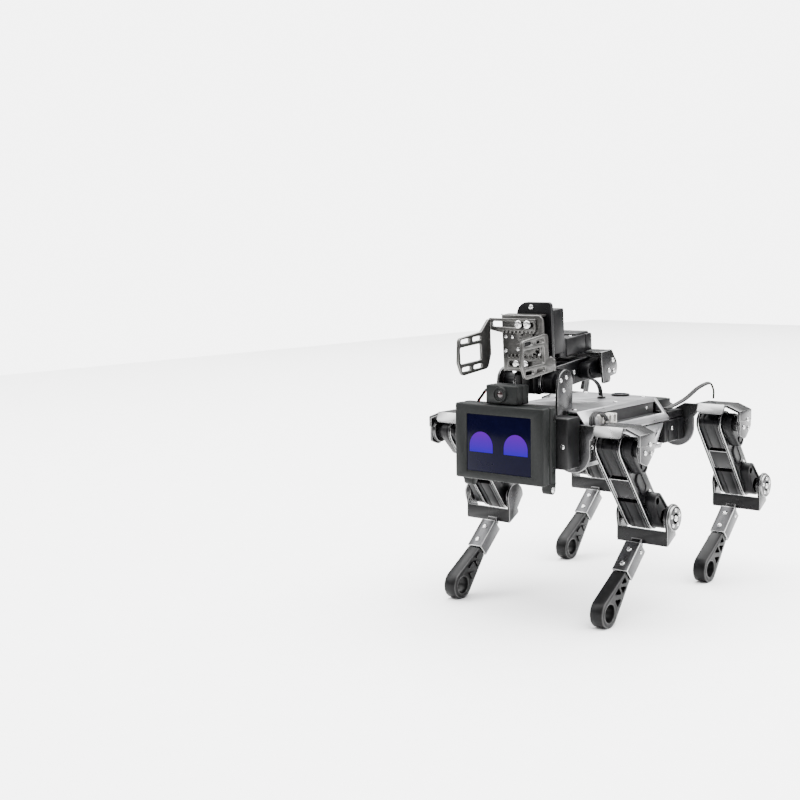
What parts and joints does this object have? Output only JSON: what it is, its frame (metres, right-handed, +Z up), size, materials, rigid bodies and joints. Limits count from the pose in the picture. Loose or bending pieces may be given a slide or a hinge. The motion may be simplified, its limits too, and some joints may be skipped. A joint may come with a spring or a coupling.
{
  "type": "quadruped robot dog",
  "caption": "Servo-driven four-legged robot with a display head, camera and a folded arm ending in a rack-and-pinion gripper",
  "frame": {"origin": "on the floor under the middle of the robot's bounding box, standing on its four ring feet", "axes": "+Y towards the robot's rear, so it faces -Y; +X is its left side; +Z up"},
  "size_m": [0.1372, 0.2023, 0.1709],
  "materials": {
    "servo_plastic": "fine moulded texture",
    "bracket_grey": "semi-gloss grey coated sheet",
    "black_anodised": "satin black anodised with bright machined edges",
    "brushed_silver": "brushed along the hull",
    "foot_plastic": "matt moulded",
    "lead_sleeve": "smooth flexible wire sleeve",
    "dark_panel": "dark grey satin",
    "battery_wrap": "shrink wrap",
    "circuit_board": "solder mask",
    "black_plastic": "matt moulded",
    "head_plastic": "matt charcoal, fine grain",
    "screen": "glossy dark cover",
    "gripper_metal": "gun-metal grey sheet, semi-gloss"
  },
  "bodies": {
    "robot": {"torso_upper_shell": "brushed_silver", "torso_lower_shell": "brushed_silver", "torso_side_panel_left": "dark_panel", "torso_side_panel_right": "dark_panel", "battery_pack": "battery_wrap", "control_board": "circuit_board", "front_mount_block": "black_plastic", "rear_mount_block": "black_plastic", "head_bezel": "head_plastic", "head_cover": "head_plastic", "display_panel": "screen", "camera_housing": "head_plastic", "arm_base_bracket": "dark_panel", "front_left_roll_servo": "servo_plastic", "front_left_servo_lead": "lead_sleeve", "front_right_roll_servo": "servo_plastic", "front_right_servo_lead": "lead_sleeve", "rear_left_roll_servo": "servo_plastic", "rear_left_servo_lead": "lead_sleeve", "rear_right_roll_servo": "servo_plastic", "rear_right_servo_lead": "lead_sleeve", "arm_servo_lead": "lead_sleeve"},
    "front_left_hip": {"front_left_hip_bracket": "bracket_grey"},
    "front_left_thigh": {"front_left_thigh_frame": "black_anodised", "front_left_hip_servo": "servo_plastic", "front_left_knee_servo": "servo_plastic"},
    "front_left_shin": {"front_left_knee_bracket": "bracket_grey", "front_left_shin_tube": "brushed_silver", "front_left_foot": "foot_plastic"},
    "front_right_hip": {"front_right_hip_bracket": "bracket_grey"},
    "front_right_thigh": {"front_right_thigh_frame": "black_anodised", "front_right_hip_servo": "servo_plastic", "front_right_knee_servo": "servo_plastic"},
    "front_right_shin": {"front_right_knee_bracket": "bracket_grey", "front_right_shin_tube": "brushed_silver", "front_right_foot": "foot_plastic"},
    "rear_left_hip": {"rear_left_hip_bracket": "bracket_grey"},
    "rear_left_thigh": {"rear_left_thigh_frame": "black_anodised", "rear_left_hip_servo": "servo_plastic", "rear_left_knee_servo": "servo_plastic"},
    "rear_left_shin": {"rear_left_knee_bracket": "bracket_grey", "rear_left_shin_tube": "brushed_silver", "rear_left_foot": "foot_plastic"},
    "rear_right_hip": {"rear_right_hip_bracket": "bracket_grey"},
    "rear_right_thigh": {"rear_right_thigh_frame": "black_anodised", "rear_right_hip_servo": "servo_plastic", "rear_right_knee_servo": "servo_plastic"},
    "rear_right_shin": {"rear_right_knee_bracket": "bracket_grey", "rear_right_shin_tube": "brushed_silver", "rear_right_foot": "foot_plastic"},
    "upper_arm": {"upper_arm_frame": "black_anodised", "shoulder_servo": "servo_plastic", "elbow_servo": "servo_plastic"},
    "forearm": {"elbow_bracket": "bracket_grey", "gripper_servo": "servo_plastic", "gripper_back_plate": "black_anodised", "gripper_base_plate": "gripper_metal"},
    "pinion": {"gripper_pinion": "gripper_metal"},
    "left_finger": {"gripper_finger_left": "gripper_metal"},
    "right_finger": {"gripper_finger_right": "gripper_metal"}
  },
  "joints": [
    {"name": "front_left_hip_roll", "type": "hinge", "parent": "robot", "child": "front_left_hip", "pos_m": [0.0285, -0.065, 0.092], "axis": [0, 1, 0], "range_deg": [-30, 26], "deforming": ["front_left_servo_lead"]},
    {"name": "front_left_hip_pitch", "type": "hinge", "parent": "front_left_hip", "child": "front_left_thigh", "pos_m": [0.055, -0.056, 0.0954], "axis": [1, 0, 0], "range_deg": [-90, 45]},
    {"name": "front_left_knee_pitch", "type": "hinge", "parent": "front_left_thigh", "child": "front_left_shin", "pos_m": [0.05, -0.0241, 0.054], "axis": [1, 0, 0], "range_deg": [-42, 75]},
    {"name": "front_right_hip_roll", "type": "hinge", "parent": "robot", "child": "front_right_hip", "pos_m": [-0.0285, -0.065, 0.092], "axis": [0, -1, 0], "range_deg": [-30, 26], "deforming": ["front_right_servo_lead"]},
    {"name": "front_right_hip_pitch", "type": "hinge", "parent": "front_right_hip", "child": "front_right_thigh", "pos_m": [-0.055, -0.056, 0.0954], "axis": [1, 0, 0], "range_deg": [-90, 45]},
    {"name": "front_right_knee_pitch", "type": "hinge", "parent": "front_right_thigh", "child": "front_right_shin", "pos_m": [-0.05, -0.0241, 0.054], "axis": [1, 0, 0], "range_deg": [-42, 75]},
    {"name": "rear_left_hip_roll", "type": "hinge", "parent": "robot", "child": "rear_left_hip", "pos_m": [0.0285, 0.0525, 0.092], "axis": [0, 1, 0], "range_deg": [-30, 26], "deforming": ["rear_left_servo_lead"]},
    {"name": "rear_left_hip_pitch", "type": "hinge", "parent": "rear_left_hip", "child": "rear_left_thigh", "pos_m": [0.055, 0.0615, 0.0954], "axis": [1, 0, 0], "range_deg": [-42, 45]},
    {"name": "rear_left_knee_pitch", "type": "hinge", "parent": "rear_left_thigh", "child": "rear_left_shin", "pos_m": [0.05, 0.0934, 0.054], "axis": [1, 0, 0], "range_deg": [-42, 75]},
    {"name": "rear_right_hip_roll", "type": "hinge", "parent": "robot", "child": "rear_right_hip", "pos_m": [-0.0285, 0.0525, 0.092], "axis": [0, -1, 0], "range_deg": [-30, 26], "deforming": ["rear_right_servo_lead"]},
    {"name": "rear_right_hip_pitch", "type": "hinge", "parent": "rear_right_hip", "child": "rear_right_thigh", "pos_m": [-0.055, 0.0615, 0.0954], "axis": [1, 0, 0], "range_deg": [-42, 45]},
    {"name": "rear_right_knee_pitch", "type": "hinge", "parent": "rear_right_thigh", "child": "rear_right_shin", "pos_m": [-0.05, 0.0934, 0.054], "axis": [1, 0, 0], "range_deg": [-42, 75]},
    {"name": "arm_shoulder", "type": "hinge", "parent": "robot", "child": "upper_arm", "pos_m": [0, -0.0581, 0.1275], "axis": [1, 0, 0], "range_deg": [-8, 24], "deforming": ["arm_servo_lead"]},
    {"name": "arm_elbow", "type": "hinge", "parent": "upper_arm", "child": "forearm", "pos_m": [0, -0.0106, 0.1325], "axis": [-1, 0, 0], "range_deg": [0, 120]},
    {"name": "left_finger_slide", "type": "slide", "parent": "forearm", "child": "left_finger", "axis": [-1, 0, 0], "range_m": [0, 0.0134]},
    {"name": "right_finger_slide", "type": "slide", "parent": "forearm", "child": "right_finger", "axis": [1, 0, 0], "range_m": [0, 0.0134]},
    {"name": "gripper_drive", "type": "hinge", "parent": "forearm", "child": "pinion", "pos_m": [0.0045, -0.07032, 0.14857], "axis": [0, 0.9976, 0.0698], "range_deg": [0, 120]}
  ],
  "couplings": [
    {"joint": "gripper_drive", "follows": "left_finger_slide", "rad_per_m": 156.25},
    {"joint": "right_finger_slide", "follows": "left_finger_slide", "ratio": 1}
  ]
}
